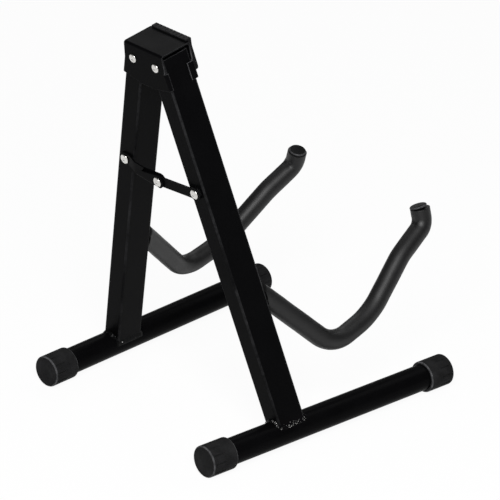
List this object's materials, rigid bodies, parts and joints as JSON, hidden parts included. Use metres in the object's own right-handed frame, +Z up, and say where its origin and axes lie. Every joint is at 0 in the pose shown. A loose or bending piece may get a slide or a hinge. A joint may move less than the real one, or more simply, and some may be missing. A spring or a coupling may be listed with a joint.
{
  "type": "guitar stand",
  "caption": "Folding black steel A-frame guitar stand: round base tubes with rubber caps, curved foam-covered cradle arms, a rubber pad on the head and a folding strap link between the legs.",
  "frame": {"origin": "middle of the open stand's outline, on the floor it stands on", "axes": "+Z up, -Y towards the guitar and its cradle arms, +X towards the leg on the left when seen from behind"},
  "size_m": [0.2802, 0.304, 0.3824],
  "materials": {
    "black_steel": "satin black powder coat",
    "rivet_steel": "bright nickel plate",
    "cap_rubber": "matt moulded rubber",
    "pad_rubber": "matt ribbed rubber",
    "arm_foam": "matt closed-cell foam",
    "plug_plastic": "smooth black plastic"
  },
  "bodies": {
    "head": {"head_bracket": "black_steel", "head_pad": "pad_rubber", "left_head_rivet": "rivet_steel", "right_head_rivet": "rivet_steel"},
    "left_leg": {"left_leg_tube": "black_steel", "left_base_tube": "black_steel", "left_back_cap": "cap_rubber", "left_front_cap": "cap_rubber", "left_foot_weld": "black_steel", "left_arm_rod": "black_steel", "left_arm_foam": "arm_foam", "left_arm_plug": "plug_plastic", "left_link_rivet": "rivet_steel"},
    "right_leg": {"right_leg_tube": "black_steel", "right_base_tube": "black_steel", "right_back_cap": "cap_rubber", "right_front_cap": "cap_rubber", "right_foot_weld": "black_steel", "right_arm_rod": "black_steel", "right_arm_foam": "arm_foam", "right_arm_plug": "plug_plastic"},
    "channel_link": {"channel_strap": "black_steel", "middle_link_rivet": "rivet_steel"},
    "flat_link": {"flat_strap": "black_steel", "right_link_rivet": "rivet_steel", "link_spacer": "black_steel"}
  },
  "joints": [
    {"name": "left_leg_fold", "type": "hinge", "parent": "head", "child": "left_leg", "pos_m": [0.0146, 0.11899, 0.3623], "axis": [0, 0.9819, -0.1896], "range_deg": [0, 15.6]},
    {"name": "right_leg_fold", "type": "hinge", "parent": "head", "child": "right_leg", "pos_m": [-0.0146, 0.11899, 0.3623], "axis": [0, 0.9819, -0.1896], "range_deg": [-15.6, 0]},
    {"name": "channel_strap_fold", "type": "hinge", "parent": "left_leg", "child": "channel_link", "pos_m": [0.04738, 0.11175, 0.24571], "axis": [0, 0.9819, -0.1896], "range_deg": [-81.9, 0]},
    {"name": "flat_strap_fold", "type": "hinge", "parent": "channel_link", "child": "flat_link", "pos_m": [0, 0.11092, 0.24139], "axis": [0, 0.9819, -0.1896], "range_deg": [0, 132.59]}
  ],
  "couplings": [
    {"joint": "right_leg_fold", "follows": "left_leg_fold", "ratio": -1},
    {"joint": "channel_strap_fold", "follows": "left_leg_fold", "ratio": -5.2497},
    {"joint": "flat_strap_fold", "follows": "left_leg_fold", "ratio": 8.4994}
  ]
}
